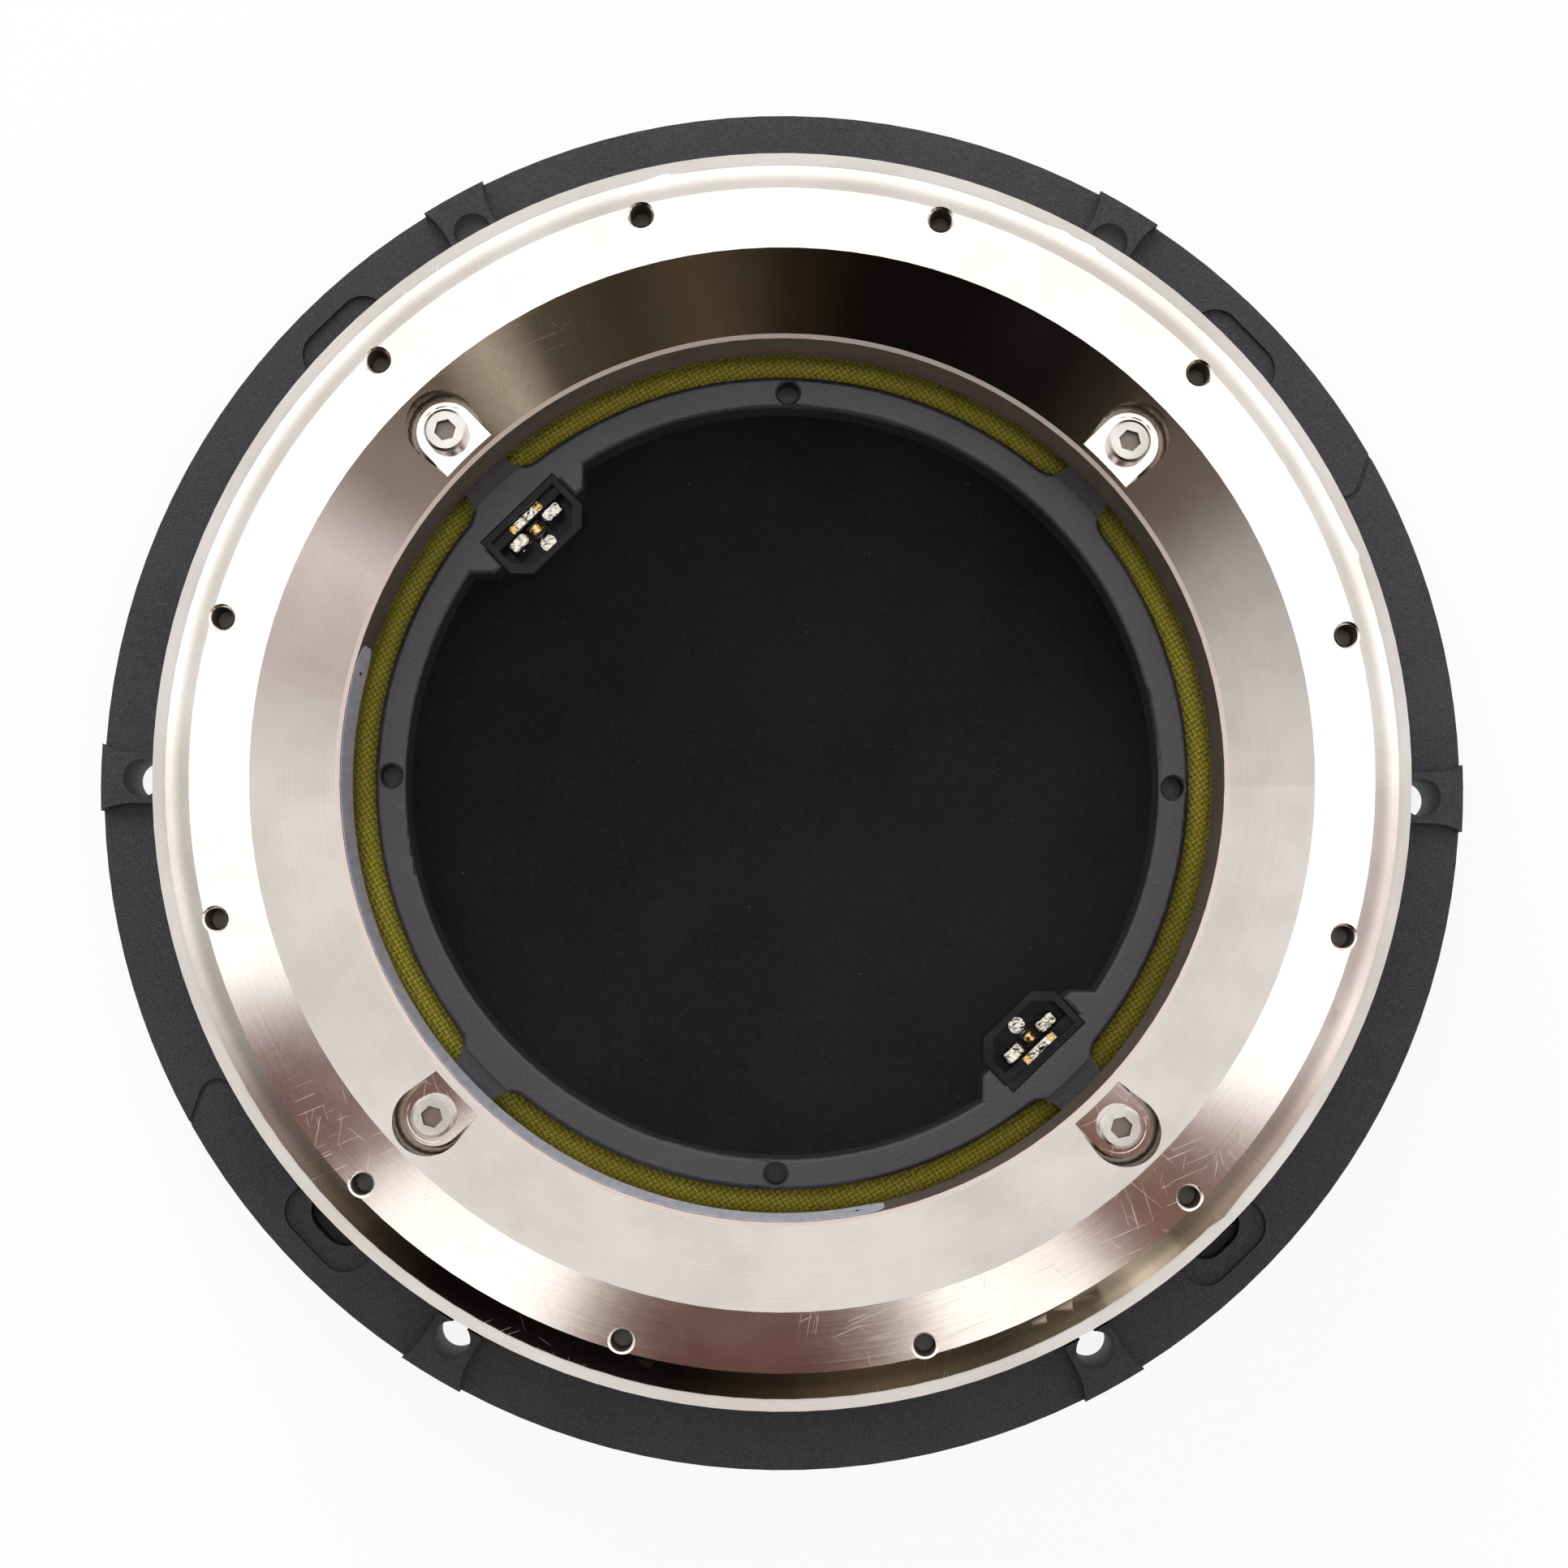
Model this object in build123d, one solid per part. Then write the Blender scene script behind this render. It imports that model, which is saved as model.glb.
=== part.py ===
from build123d import *
from math import cos, radians, sin, sqrt
import os

os.makedirs("parts", exist_ok=True)

# Ring-motor loudspeaker driver, in millimetres. It lies on its front gasket at z = 0, with its
# motor and terminals up (+Z), and its axis is Z. Angles are counted about Z from +X.

# Coil and magnetic gap, counted outwards and inwards from the coil.
coil_radius = 71.0          # middle of the winding
winding_depth = 1.0         # radial build of the winding
winding_height = 9.0
former_wall = 0.3
gap_clearance = 0.35        # between the moving coil and each wall of the gap
travel = 3.0                # diaphragm travel each way from rest
end_clearance = 0.6         # left beyond the travel at the yoke plate
soft_clearance = 0.3        # between a soft piece and a neighbour that moves
slip = 0.05                 # radial clearance round a screw or a pin

# Motor.
sleeve_wall = 0.4           # copper sleeve on the pole plate
pole_width = 11.95          # radial width of the pole plate
outer_pole_width = 2.5
shorting_step = 0.4         # the aluminium ring stands back from the gap by this much
cup_wall = 6.75
cup_height = 25.0
plate_thickness = 7.5       # rear plate of the cup, between its flat ring and the magnets
magnet_height = 6.5
pole_thickness = 4.0
liner_wall = 0.5            # tube that lines the bore
fit_gap = 0.2               # between a magnet ring and the walls round it
flat_width = 7.7            # flat turned ring on the rear face
rim_curve_width = 3.9       # curved slope outside the flat ring
rim_curve_drop = 2.2
rim_bevel_width = 1.5       # last bevel down to the cup's side
rim_bevel_drop = 2.1
cone_drop = 4.0             # how deep the conical dish falls from the flat ring to the bore
lip_width = 0.6             # bright chamfer round the bore's mouth
lip_drop = 0.4
magnets_per_quarter = 5
magnet_split = 0.6          # gap between two magnet blocks
tapped_count = 12           # threaded holes in the flat ring
tapped_radius = 1.3
tapped_chamfer = 0.45
tapped_depth = 6.0
tapped_inset = 1.25         # hole centres inside the flat ring's outer edge

# Socket screws that hold the hub, and their milled pockets.
screw_radius = 1.5          # M3
head_radius = 2.75
head_height = 3.0
socket_width = 2.5          # across the flats
socket_depth = 1.5
hub_screw_length = 18.0
hub_screw_outset = 5.2      # screw circle outside the bore
pocket_floor_drop = 3.8     # pocket floor below the flat ring
pocket_radius = 3.9         # round end at the floor
pocket_draft = 20.0         # degrees
spot_radius = 3.45          # round recess for the head in the pocket's floor
spot_depth = 0.5
arm_angles = (45, 135, 225, 315)

# Hub inside the bore.
hub_gap = 3.2               # between the liner and the hub ring
hub_ring_width = 4.1
hub_ring_height = 7.9
hub_ring_drop = 16.5        # ring's rear face below the flat ring of the cup
hub_edge = 0.6              # rounding of the ring's rear edges
arm_width = 7.3
arm_height = 4.5
arm_tip = 4.3               # arm's end past its screw
arm_corner = 3.0            # rounding where an arm joins the ring
arm_step = 0.6              # ring's shoulder on an arm
hub_hole_radius = 1.45
hub_hole_depth = 5.0
hub_hole_chamfer = 0.3
clamp_height = 2.0          # ring under the hub that holds the inner suspension

# Terminals, one in the hub at each of these angles.
terminal_angles = (135, 315)
housing_length = 7.8        # radial
housing_width = 13.1
housing_height = 7.2
housing_wall = 0.9
housing_floor = 1.2
housing_corner = 2.1
housing_overlap = 0.9       # how far it reaches into the hub ring
housing_sink = 0.4          # housing's rim below the hub ring's rear face
housing_clearance = 0.1
ear_width = 1.6
ear_length = 3.4
ear_spread = 5.4            # ear's foot on the ring, outside the housing
ear_fade = 0.4              # how far the ring's inner edge and the ear's foot overlap
lug_spread = 6.0            # between the two lugs
lug_length = 3.0
lug_thickness = 1.9
lug_height = 5.4
lug_gap = 0.2               # lug from the ledge
ledge_width = 1.4           # raised ledge along the housing's outer wall
ledge_height = 4.2
strip_length = 3.4
strip_end_length = 0.9
strip_thickness = 0.5
clip_length = 2.0
clip_thickness = 0.5
pedestal_height = 3.0
rivet_radius = 0.6
rivet_head_radius = 1.1
rivet_head_height = 0.5
rivet_inset = 1.3           # rivet from the housing's inner wall

# Basket.
flange_overhang = 13.2      # flange edge outside the cup
flange_thickness = 12.5
basket_height = 28.5        # flange front to the motor's seat
seat_step = 0.5             # basket neck inside the cup's side
shelf_drop = 17.5           # shelf for the surround, from the flange's front
trim_clearance = 0.2
flange_bore_outset = 3.4    # flange bore outside the cup
window_count = 8
window_width = 17.0
window_height = 6.0
window_sill = 2.6           # metal between the shelf and a window
window_corner = 2.0
mount_count = 6
mount_hole_radius = 2.6
mount_hole_inset = 5.65     # hole circle inside the flange edge
pad_height = 2.6
pad_edge_half = 4.5         # half width of a pad at the flange edge
pad_waist_half = 3.5        # half width beside its hole
stadium_width = 14.0        # shallow recess beside each arm
stadium_inset = 3.0         # recess inside the flange edge
stadium_depth = 1.0
stadium_rim = 2.6           # ledge between the recess and the pocket in it
stadium_pocket_depth = 4.5
stadium_length = 9.6        # radial
flange_land = 1.8           # metal kept between the flange bore and a pocket
groove_width = 0.6
groove_depth = 0.5
motor_screw_count = 8
motor_screw_length = 14.0
motor_screw_seat = 4.0      # counterbore depth in the shelf
pin_radius = 1.25
pin_length = 8.0
pin_angles = (13.5, 193.5)

# Gasket, trim ring, surround and diaphragm.
gasket_thickness = 1.5
gasket_inset = 0.7
gasket_hole_extra = 0.6
trim_flare = 2.2            # how much the trim ring opens towards the front
trim_flare_height = 6.6
trim_front_gap = 0.3        # trim ring's front behind the gasket's seat
trim_wall = 3.2
surround_wall = 0.6
surround_lip = 1.9          # glued lip on the diaphragm
lip_corner = 0.1            # surround lip inside the trim ring
diaphragm_wall = 0.8
diaphragm_rise = 13.3
diaphragm_lip = 2.4         # flat lip outside the former
collar_width = 1.3
collar_height = 3.0
suspension_wall = 0.5
suspension_waves = 5
suspension_lip = 2.6
lead_radius = 0.6
tab_width = 3.0
tab_height = 4.0
tab_thickness = 0.4

# Label band on the liner, left blank.
label_start = 163.0
label_end = 284.5
label_thickness = 0.15
label_height = 12.4

# Radii that follow.
former_outer = coil_radius - winding_depth / 2
former_inner = former_outer - former_wall
winding_outer = coil_radius + winding_depth / 2
sleeve_outer = former_inner - gap_clearance
pole_outer = sleeve_outer - sleeve_wall
bore_wall_radius = pole_outer - pole_width
bore_radius = bore_wall_radius - liner_wall
outer_pole_inner = winding_outer + gap_clearance
cup_inner = outer_pole_inner + outer_pole_width
cup_outer = cup_inner + cup_wall
flat_outer = cup_outer - rim_bevel_width - rim_curve_width
flat_inner = flat_outer - flat_width
tapped_circle = flat_outer - tapped_inset
hub_screw_circle = bore_radius + hub_screw_outset
hub_outer = bore_radius - hub_gap
hub_inner = hub_outer - hub_ring_width
hub_hole_circle = (hub_outer + hub_inner) / 2
flange_radius = cup_outer + flange_overhang
flange_bore = cup_outer + flange_bore_outset
mount_circle = flange_radius - mount_hole_inset
neck_outer = cup_outer - seat_step
motor_screw_circle = (cup_inner + cup_outer) / 2
diaphragm_edge = former_outer + diaphragm_lip
trim_outer = flange_bore - trim_clearance
trim_inner = trim_outer - trim_wall

# Heights that follow.
flange_front = gasket_thickness
flange_rear = flange_front + flange_thickness
shelf = flange_front + shelf_drop
seat = flange_front + basket_height
rear_face = seat + cup_height
plate_front = rear_face - plate_thickness
magnet_front = plate_front - magnet_height
pole_front = magnet_front - pole_thickness
hub_top = rear_face - hub_ring_drop
hub_bottom = hub_top - hub_ring_height
arm_bottom = pole_front - arm_height
winding_rear = plate_front - travel - end_clearance
winding_front = winding_rear - winding_height
pocket_floor = rear_face - pocket_floor_drop
head_seat = pocket_floor - spot_depth
trim_rear = shelf - surround_wall
diaphragm_front = shelf + soft_clearance
former_front = diaphragm_front + diaphragm_wall

BASE = (Align.CENTER, Align.CENTER, Align.MIN)


def ring(inner, outer, low, high):
    """Plain ring about Z between two heights."""
    height = high - low
    return Pos(0, 0, low) * (Cylinder(outer, height, align=BASE) - Cylinder(inner, height, align=BASE))


def post(radius, low, high):
    """Plain round post on the Z axis."""
    return Pos(0, 0, low) * Cylinder(radius, high - low, align=BASE)


def lathe(outline):
    """Solid of revolution of a sketch drawn with radius across and height up."""
    return revolve(Plane.XZ * outline, Axis.Z)


def polygon(*points):
    """Filled outline through the given points."""
    return make_face(Polyline(*points, close=True))


def around(count, first=0.0):
    """Rotations that share a full turn equally."""
    return [Rot(0, 0, first + 360 * i / count) for i in range(count)]


def on_circle(solid, radius, turns):
    """Copies of a solid set out on a circle."""
    return [turn * Pos(radius, 0, 0) * solid for turn in turns]


def merged(solids):
    """One shape of several cutters, to cut them all at once."""
    shape = solids[0]
    for solid in solids[1:]:
        shape += solid
    return shape


def group(solids):
    """Separate solids that share a node."""
    return Compound(children=[solid for item in solids for solid in item.solids()])


def save(name, shape):
    export_step(shape, f"parts/{name}.step")


def cap_screw(length, seat_height, points_down=True):
    """Socket-head cap screw on Z. Its head bears on the given height."""
    body = post(head_radius, 0, head_height)
    body = chamfer(body.edges().filter_by(GeomType.CIRCLE).group_by(Axis.Z)[-1], 0.35)
    hexagon = RegularPolygon(socket_width / sqrt(3), 6)
    body -= Pos(0, 0, head_height - socket_depth) * extrude(hexagon, socket_depth)
    body += post(screw_radius, -length, 0)
    if not points_down:
        body = Rot(180, 0, 0) * body
    return Pos(0, 0, seat_height) * body


# ---- motor ----

def rear_profile():
    """Half section of the cup: wall, flat ring, conical dish and bore."""
    bevel_top = rear_face - rim_curve_drop
    curve_start = (flat_outer, rear_face)
    curve_end = (flat_outer + rim_curve_width, bevel_top)
    bow = (flat_outer + rim_curve_width * 0.56, rear_face - rim_curve_drop * 0.38)
    lip_top = rear_face - cone_drop
    lip_bottom = lip_top - lip_drop
    outline = [
        Line((cup_inner, seat), (cup_outer, seat)),
        Line((cup_outer, seat), (cup_outer, bevel_top - rim_bevel_drop)),
        Line((cup_outer, bevel_top - rim_bevel_drop), curve_end),
        ThreePointArc(curve_end, bow, curve_start),
        Line(curve_start, (flat_inner, rear_face)),
        Line((flat_inner, rear_face), (bore_radius + lip_width, lip_top)),
        Line((bore_radius + lip_width, lip_top), (bore_radius, lip_bottom)),
        Line((bore_radius, lip_bottom), (bore_wall_radius, lip_bottom)),
        Line((bore_wall_radius, lip_bottom), (bore_wall_radius, plate_front)),
        Line((bore_wall_radius, plate_front), (cup_inner, plate_front)),
        Line((cup_inner, plate_front), (cup_inner, seat)),
    ]
    return Face(Wire(outline))


def screw_pocket():
    """Milled pocket for a hub screw. It is round outside and runs in to the bore's lip."""
    height = pocket_floor_drop + 1
    inward = hub_screw_circle - bore_radius - lip_width
    floor = Circle(pocket_radius) + Pos(-inward / 2, 0) * Rectangle(inward, 2 * pocket_radius)
    slanted = extrude(floor, height, taper=-pocket_draft)
    outside = Pos(-inward - 5, 0, 0) * Box(10, 40, 40)
    return Pos(0, 0, pocket_floor) * (slanted - outside) + post(spot_radius, head_seat, pocket_floor + 1)


def tapped_hole():
    """Blind threaded hole from the flat ring, with its chamfer."""
    hole = post(tapped_radius, rear_face - tapped_depth, rear_face + 1)
    wide = tapped_radius + tapped_chamfer
    cone = Cone(tapped_radius, wide + 1, tapped_chamfer + 1, align=BASE)
    return hole + Pos(0, 0, rear_face - tapped_chamfer) * cone


def yoke_cup():
    cup = lathe(rear_profile())
    arms = [Rot(0, 0, angle) for angle in arm_angles]
    cup -= merged(on_circle(screw_pocket(), hub_screw_circle, arms))
    through = post(screw_radius + slip, plate_front - 1, pocket_floor)
    cup -= merged(on_circle(through, hub_screw_circle, arms))
    cup -= merged(on_circle(tapped_hole(), tapped_circle, around(tapped_count, 180 / tapped_count)))
    blind = post(screw_radius + slip, seat - 1, motor_screw_tip() + 1)
    cup -= merged(on_circle(blind, motor_screw_circle, around(motor_screw_count, 180 / motor_screw_count)))
    socket = post(pin_radius + slip, seat - 1, seat + pin_length / 2 + slip)
    return cup - merged(on_circle(socket, motor_screw_circle, [Rot(0, 0, a) for a in pin_angles]))


def magnet_blocks():
    """Arc-shaped blocks, split wide enough at the arms to let the hub screws through."""
    body = ring(bore_wall_radius + fit_gap, pole_outer - fit_gap, magnet_front, plate_front)
    reach = 2 * cup_outer
    screw_split = 2 * (screw_radius + slip) + magnet_split
    for step in range(4 * magnets_per_quarter):
        width = magnet_split if step % magnets_per_quarter else screw_split
        cut = Pos(reach / 2, 0, plate_front) * Box(reach, width, 4 * magnet_height)
        body -= Rot(0, 0, arm_angles[0] + 90 * step / magnets_per_quarter) * cut
    return group([body])


def pole_plate():
    plate = ring(bore_wall_radius + fit_gap, pole_outer, pole_front, magnet_front)
    through = post(screw_radius + slip, pole_front - 1, magnet_front + 1)
    return plate - merged(on_circle(through, hub_screw_circle, [Rot(0, 0, a) for a in arm_angles]))


def copper_sleeve():
    return ring(pole_outer, sleeve_outer, pole_front, magnet_front + magnet_height / 2)


def outer_pole_ring():
    middle = (pole_front + magnet_front) / 2
    half = pole_thickness / 2 + 1
    return ring(outer_pole_inner, cup_inner, middle - half, middle + half)


def shorting_ring():
    low = magnet_front + 1
    return ring(outer_pole_inner + shorting_step, cup_inner, low, plate_front)


def bore_liner():
    return ring(bore_radius, bore_wall_radius, pole_front, rear_face - cone_drop - lip_drop)


def label_band():
    """Blank strip stuck on the liner, with rounded ends."""
    middle = (pole_front + rear_face - cone_drop - lip_drop) / 2
    band = ring(bore_radius - label_thickness, bore_radius, middle - label_height / 2,
                middle + label_height / 2)
    span = label_end - label_start
    sector = Rot(0, 0, label_start) * lathe_sector(span)
    return band & sector


def lathe_sector(span):
    """Wedge about Z that a band is trimmed with."""
    reach = 2 * bore_radius
    square = Plane.XZ * (Pos(reach / 2, rear_face / 2) * Rectangle(reach, 2 * rear_face))
    return revolve(square, Axis.Z, span)


# ---- hub ----

def arm_outline():
    length = hub_screw_outset + hub_gap + hub_ring_width / 2
    start = hub_screw_circle - length
    bar = Pos(start + length / 2, 0) * Rectangle(length, arm_width)
    return bar + Pos(hub_screw_circle, 0) * Circle(arm_width / 2)


def ear_outline(side):
    """Thickening of the hub ring beside a terminal."""
    near = side * (housing_width / 2 + housing_clearance)
    tip = side * (housing_width / 2 + ear_width)
    foot = side * (housing_width / 2 + ear_spread)
    inner = hub_inner - ear_length
    back = hub_inner + hub_ring_width / 2
    return polygon((inner, near), (inner, tip), (hub_inner + ear_fade, foot), (back, foot), (back, near))


def housing_outline(grow=0.0):
    """Terminal housing seen from above, with its two inner corners cut off."""
    outer = hub_inner + housing_overlap + grow
    inner = hub_inner + housing_overlap - housing_length - grow
    half = housing_width / 2 + grow
    cut = housing_corner
    return polygon((inner, -half + cut), (inner + cut, -half), (outer, -half),
                   (outer, half), (inner + cut, half), (inner, half - cut))


def hub_hole():
    wide = hub_hole_radius + hub_hole_chamfer
    hole = post(hub_hole_radius, hub_top - hub_hole_depth, hub_top + 1)
    cone = Cone(hub_hole_radius, wide + 1, hub_hole_chamfer + 1, align=BASE)
    return hole + Pos(0, 0, hub_top - hub_hole_chamfer) * cone


def hub_plan():
    """Ring, arms and ears seen from above, with rounded inner corners at the arms."""
    plan = Circle(hub_outer)
    for angle in arm_angles:
        plan += Rot(0, 0, angle) * arm_outline()
    near = [v for v in plan.vertices() if abs(sqrt(v.X ** 2 + v.Y ** 2) - hub_outer) < 0.01]
    corners = [v for v in near if abs(abs(v.X) - abs(v.Y)) > 1]
    plan = fillet(corners, arm_corner)
    plan -= Circle(hub_inner)
    for angle in terminal_angles:
        for side in (-1, 1):
            plan += Rot(0, 0, angle) * ear_outline(side)
    return plan


def hub_frame():
    frame = Pos(0, 0, hub_bottom) * extrude(hub_plan(), hub_ring_height)
    frame = fillet(frame.edges().group_by(Axis.Z)[-1], hub_edge)
    rim = hub_outer + arm_step
    far = hub_screw_circle + arm_tip + arm_width
    frame -= ring(rim, far, pole_front, hub_top + 1)
    frame -= ring(hub_outer, far, hub_bottom - 1, arm_bottom)
    arms = [Rot(0, 0, angle) for angle in arm_angles]
    thread = post(screw_radius + slip, arm_bottom - 1, pole_front + 1)
    frame -= merged(on_circle(thread, hub_screw_circle, arms))
    frame -= merged(on_circle(hub_hole(), hub_hole_circle, around(4)))
    for angle in terminal_angles:
        seat_cut = extrude(housing_outline(housing_clearance), 2 * hub_ring_height)
        frame -= Rot(0, 0, angle) * Pos(0, 0, hub_bottom - 1) * seat_cut
    return frame


def hub_screws():
    screw = cap_screw(hub_screw_length, head_seat)
    return group(on_circle(screw, hub_screw_circle, [Rot(0, 0, a) for a in arm_angles]))


def suspension_clamp():
    top = hub_bottom - suspension_wall
    return ring(hub_outer - suspension_lip, hub_outer, top - clamp_height, top)


# ---- terminals ----

housing_top = hub_top - housing_sink
housing_bottom = housing_top - housing_height
housing_deck = housing_bottom + housing_floor
housing_outer = hub_inner + housing_overlap
lug_centre = housing_outer - housing_wall - ledge_width - lug_thickness / 2 - lug_gap
ledge_top = housing_deck + ledge_height
pedestal_top = housing_deck + pedestal_height
rivet_centre = housing_outer - housing_length + housing_wall + rivet_inset


def terminal_housing():
    """Open tray with a ledge along its outer wall and a small pedestal between the lugs."""
    shell = extrude(housing_outline(), housing_height)
    cavity = extrude(housing_outline(-housing_wall), housing_height)
    shell -= Pos(0, 0, housing_floor) * cavity
    ledge_x = housing_outer - housing_wall - ledge_width / 2
    inside = housing_width - 2 * housing_wall
    shell += Pos(ledge_x, 0, housing_floor) * Box(ledge_width, inside, ledge_height, align=BASE)
    shell += Pos(lug_centre, 0, housing_floor) * Box(lug_thickness, clip_length, pedestal_height, align=BASE)
    shell -= Pos(rivet_centre, 0, -1) * Cylinder(rivet_radius + slip, housing_floor + 2, align=BASE)
    return Pos(0, 0, housing_bottom) * shell


def lug():
    """Tinned solder lug: a thick tab with a rounded head and a folded inner side."""
    tab = Box(lug_thickness, lug_length, lug_height, align=BASE)
    tab = fillet(tab.edges().filter_by(Axis.Z), lug_thickness * 0.3)
    tab = fillet(tab.edges().group_by(Axis.Z)[-1], lug_thickness * 0.2)
    notch = Pos(-lug_thickness / 2, 0, lug_height * 0.62) * Cylinder(0.55, lug_thickness, rotation=(0, 90, 0))
    return Pos(lug_centre, 0, housing_deck) * (tab - notch)


def lug_pair():
    offset = lug_spread / 2
    return [Pos(0, -offset, 0) * lug(), Pos(0, offset, 0) * Rot(0, 0, 0) * lug()]


def ledge_piece(length, offset):
    width = ledge_width - 0.3
    x = housing_outer - housing_wall - ledge_width / 2
    return Pos(x, offset, ledge_top) * Box(width, length, strip_thickness, align=BASE)


def strip_ends():
    offset = (strip_length + strip_end_length) / 2 + 0.05
    return [ledge_piece(strip_end_length, -offset), ledge_piece(strip_end_length, offset)]


def contact_clip():
    """Small curved copper clip on the pedestal."""
    radius = clip_length * 0.62
    band = Cylinder(radius, lug_thickness * 0.6, rotation=(0, 90, 0))
    band -= Cylinder(radius - clip_thickness, lug_thickness, rotation=(0, 90, 0))
    cut = Box(10, 10, 10, align=(Align.CENTER, Align.CENTER, Align.MAX))
    arch = band - Pos(0, 0, radius * 0.62) * cut
    low = arch.bounding_box().min.Z
    return Pos(lug_centre, 0, pedestal_top - low) * arch


def terminal_rivet():
    """Hollow rivet through the housing's floor that the lead is soldered to."""
    shank = post(rivet_radius, housing_bottom - rivet_head_height, housing_deck)
    inner_head = post(rivet_head_radius, housing_deck, housing_deck + rivet_head_height)
    outer_head = post(rivet_head_radius, housing_bottom - rivet_head_height, housing_bottom)
    return Pos(rivet_centre, 0, 0) * (shank + inner_head + outer_head)


# ---- basket ----

def basket_profile():
    """Half section of the flange, its flared shoulder and the neck that carries the motor."""
    shoulder = flange_bore + flange_land
    neck_foot = seat - 3
    return polygon(
        (flange_bore, flange_front), (flange_radius, flange_front), (flange_radius, flange_rear),
        (shoulder, flange_rear), (neck_outer, neck_foot), (neck_outer, seat), (cup_inner, seat),
        (cup_inner, shelf), (flange_bore, shelf))


def mount_pad():
    """Raised pad round a mounting hole, waisted beside the hole and spread at the flange edge."""
    inner = flange_bore + flange_land
    waist = mount_circle + 1.0
    edge = flange_radius + 0.5
    middle = (waist + flange_radius) / 2
    middle_half = pad_waist_half + 0.25 * (pad_edge_half - pad_waist_half)
    upper = Spline((inner, pad_waist_half), (waist, pad_waist_half), (middle, middle_half),
                   (edge, pad_edge_half + 0.6))
    lower = Spline((inner, -pad_waist_half), (waist, -pad_waist_half), (middle, -middle_half),
                   (edge, -pad_edge_half - 0.6))
    outline = make_face([upper, lower, Line((inner, pad_waist_half), (inner, -pad_waist_half)),
                         Line((edge, pad_edge_half + 0.6), (edge, -pad_edge_half - 0.6))])
    pad = Pos(0, 0, flange_rear) * extrude(outline, pad_height)
    return pad & post(flange_radius, flange_rear, flange_rear + pad_height)


def stadium(width, outer, depth, land):
    """Round-ended recess in the flange's rear face, stopped short of the shoulder's foot."""
    plan = Pos(outer - stadium_length / 2, 0) * RectangleRounded(
        stadium_length, width, min(stadium_length, width) * 0.38)
    solid = Pos(0, 0, flange_rear - depth) * extrude(plan, depth + 1)
    return solid - post(land, flange_front, flange_rear + 2)


def flange_recess():
    outer = flange_radius - stadium_inset
    land = flange_bore + flange_land
    shallow = stadium(stadium_width, outer, stadium_depth, land)
    deep = stadium(stadium_width - 2 * stadium_rim, outer - stadium_rim, stadium_pocket_depth, land)
    return shallow + deep


def witness_groove():
    """Shallow hooked groove across the flange."""
    inner = flange_bore + flange_land + 0.6
    span = flange_radius - inner
    turns = ((1.06, 0.0), (0.62, -1.6), (0.30, -2.4), (0.10, -2.0), (0.0, -0.9))
    spots = [(inner + share * span, radians(30.5 + lean)) for share, lean in turns]
    path = Spline(*[(r * cos(a), r * sin(a), flange_rear) for r, a in spots])
    tool = Plane(origin=path @ 0, z_dir=path % 0) * Rectangle(groove_width, 2 * groove_depth)
    return sweep(tool, path)


def window():
    """Vent through the neck."""
    height = window_height
    plan = RectangleRounded(window_width, height, window_corner)
    cutter = extrude(plan, flange_overhang + cup_wall + 6)
    middle = shelf + window_sill + height / 2
    return Pos(cup_inner - 3, 0, middle) * Rot(0, 90, 0) * Rot(0, 0, 90) * cutter


def motor_screw_tip():
    return shelf + motor_screw_seat + motor_screw_length


def basket():
    body = lathe(basket_profile())
    body += merged([turn * mount_pad() for turn in around(mount_count)])
    hole = post(mount_hole_radius, flange_front - 1, flange_rear + pad_height + 1)
    body -= merged(on_circle(hole, mount_circle, around(mount_count)))
    body -= merged([Rot(0, 0, angle) * flange_recess() for angle in arm_angles])
    body -= merged([turn * window() for turn in around(window_count)])
    body -= merged([turn * witness_groove() for turn in around(2)])
    seat_hole = post(head_radius + 0.15, shelf - 1, shelf + motor_screw_seat)
    through = post(screw_radius + slip, shelf, seat + 1)
    turns = around(motor_screw_count, 180 / motor_screw_count)
    body -= merged(on_circle(seat_hole + through, motor_screw_circle, turns))
    socket = post(pin_radius + slip, seat - pin_length / 2 - slip, seat + 1)
    return body - merged(on_circle(socket, motor_screw_circle, [Rot(0, 0, a) for a in pin_angles]))


def motor_screws():
    screw = cap_screw(motor_screw_length, shelf + motor_screw_seat, points_down=False)
    turns = around(motor_screw_count, 180 / motor_screw_count)
    return group(on_circle(screw, motor_screw_circle, turns))


def locating_pins():
    pin = post(pin_radius, seat - pin_length / 2, seat + pin_length / 2)
    return group(on_circle(pin, motor_screw_circle, [Rot(0, 0, a) for a in pin_angles]))


def front_gasket():
    gasket = ring(flange_bore + gasket_inset, flange_radius - gasket_inset, 0, gasket_thickness)
    hole = post(mount_hole_radius + gasket_hole_extra, -1, gasket_thickness + 1)
    return gasket - merged(on_circle(hole, mount_circle, around(mount_count)))


def trim_ring():
    """Flared front ring that presses the surround's edge on the basket's shelf."""
    front = flange_front + trim_front_gap
    return lathe(polygon(
        (trim_inner, trim_rear), (trim_outer, trim_rear), (trim_outer, front),
        (trim_inner + trim_flare, front), (trim_inner, front + trim_flare_height)))


# ---- moving parts and their suspension ----

def half_roll(centre, base, radius, wall, up):
    """Half ring section, used for rolled soft pieces."""
    band = Circle(radius + wall / 2) - Circle(radius - wall / 2)
    side = Align.MIN if up else Align.MAX
    keep = Rectangle(2 * radius + 2 * wall, radius + wall, align=(Align.CENTER, side))
    return Pos(centre, base) * (band & keep)


def flat_lip(inner, outer, middle, wall):
    return Pos((inner + outer) / 2, middle) * Rectangle(outer - inner, wall)


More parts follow.
